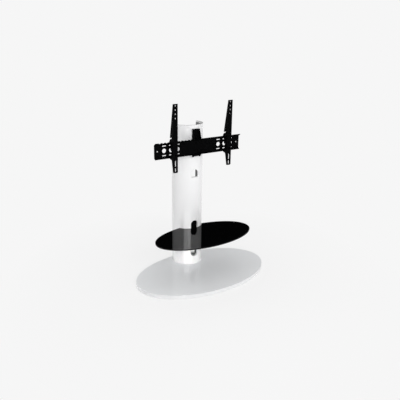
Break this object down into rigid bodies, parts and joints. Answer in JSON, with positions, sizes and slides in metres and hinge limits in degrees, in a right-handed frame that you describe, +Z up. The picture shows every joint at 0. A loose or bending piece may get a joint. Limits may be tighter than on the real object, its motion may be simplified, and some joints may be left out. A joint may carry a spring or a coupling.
{
  "type": "tv stand with mount",
  "caption": "Free-standing screen stand: oval base, curved column open at the back, oval glass shelf, and a crossbar with sliding hook-on screen arms.",
  "frame": {"origin": "centre of the base on the floor", "axes": "+Z up, -Y towards the viewer in front of the screen, +X to that viewer's right"},
  "size_m": [0.93, 0.552, 1.1485],
  "materials": {
    "white_gloss_board": "white high-gloss lacquer on board",
    "white_lacquered_column": "white satin-gloss lacquer on a bent laminated wall",
    "black_glass": "opaque black gloss tempered glass",
    "black_painted_steel": "black powder coat",
    "zinc_steel": "zinc-plated",
    "black_rubber": "matt"
  },
  "bodies": {
    "stand": {"base_board": "white_gloss_board", "base_pad_1": "black_rubber", "base_pad_2": "black_rubber", "base_pad_3": "black_rubber", "base_pad_4": "black_rubber", "base_pad_5": "black_rubber", "base_pad_6": "black_rubber", "foot_bracket": "zinc_steel", "foot_bolt_1": "zinc_steel", "foot_bolt_2": "zinc_steel", "foot_bolt_3": "zinc_steel", "foot_bolt_4": "zinc_steel", "foot_nut_1": "zinc_steel", "foot_nut_2": "zinc_steel", "foot_nut_3": "zinc_steel", "foot_nut_4": "zinc_steel", "foot_screw_1": "zinc_steel", "foot_screw_2": "zinc_steel", "foot_screw_3": "zinc_steel", "foot_screw_4": "zinc_steel", "column": "white_lacquered_column", "shelf_glass": "black_glass", "shelf_bracket": "black_painted_steel", "shelf_boss_1": "zinc_steel", "shelf_boss_2": "zinc_steel", "shelf_boss_3": "zinc_steel", "shelf_screw_1": "zinc_steel", "shelf_screw_2": "zinc_steel", "shelf_screw_3": "zinc_steel", "shelf_wall_screw_1": "zinc_steel", "shelf_wall_screw_2": "zinc_steel", "shelf_wall_screw_3": "zinc_steel", "shelf_wall_screw_4": "zinc_steel", "backing_plate": "black_painted_steel", "mount_spacer_1": "black_painted_steel", "mount_spacer_2": "black_painted_steel", "mount_spacer_3": "black_painted_steel", "mount_bolt_1": "black_painted_steel", "mount_bolt_2": "black_painted_steel", "mount_bolt_3": "black_painted_steel", "mount_nut_1": "zinc_steel", "mount_nut_2": "zinc_steel", "mount_nut_3": "zinc_steel", "mount_bracket": "black_painted_steel", "rail": "black_painted_steel", "rail_bolt_1": "black_painted_steel", "rail_bolt_2": "black_painted_steel", "rail_bolt_3": "black_painted_steel", "rail_bolt_4": "black_painted_steel", "rail_nut_1": "zinc_steel", "rail_nut_2": "zinc_steel", "rail_nut_3": "zinc_steel", "rail_nut_4": "zinc_steel"},
    "arm_left": {"arm_left": "black_painted_steel"},
    "arm_right": {"arm_right": "black_painted_steel"},
    "clamp_screw_left": {"clamp_screw_left": "black_painted_steel"},
    "clamp_screw_right": {"clamp_screw_right": "black_painted_steel"}
  },
  "joints": [
    {"name": "arm_left_slide", "type": "slide", "parent": "stand", "child": "arm_left", "axis": [1, 0, 0], "range_m": [-0.09, 0.153]},
    {"name": "arm_right_slide", "type": "slide", "parent": "stand", "child": "arm_right", "axis": [1, 0, 0], "range_m": [-0.144, 0.1]},
    {"name": "clamp_screw_left_travel", "type": "slide", "parent": "arm_left", "child": "clamp_screw_left", "axis": [0, 1, 0], "range_m": [-0.004, 0]},
    {"name": "clamp_screw_right_travel", "type": "slide", "parent": "arm_right", "child": "clamp_screw_right", "axis": [0, 1, 0], "range_m": [-0.004, 0]}
  ]
}
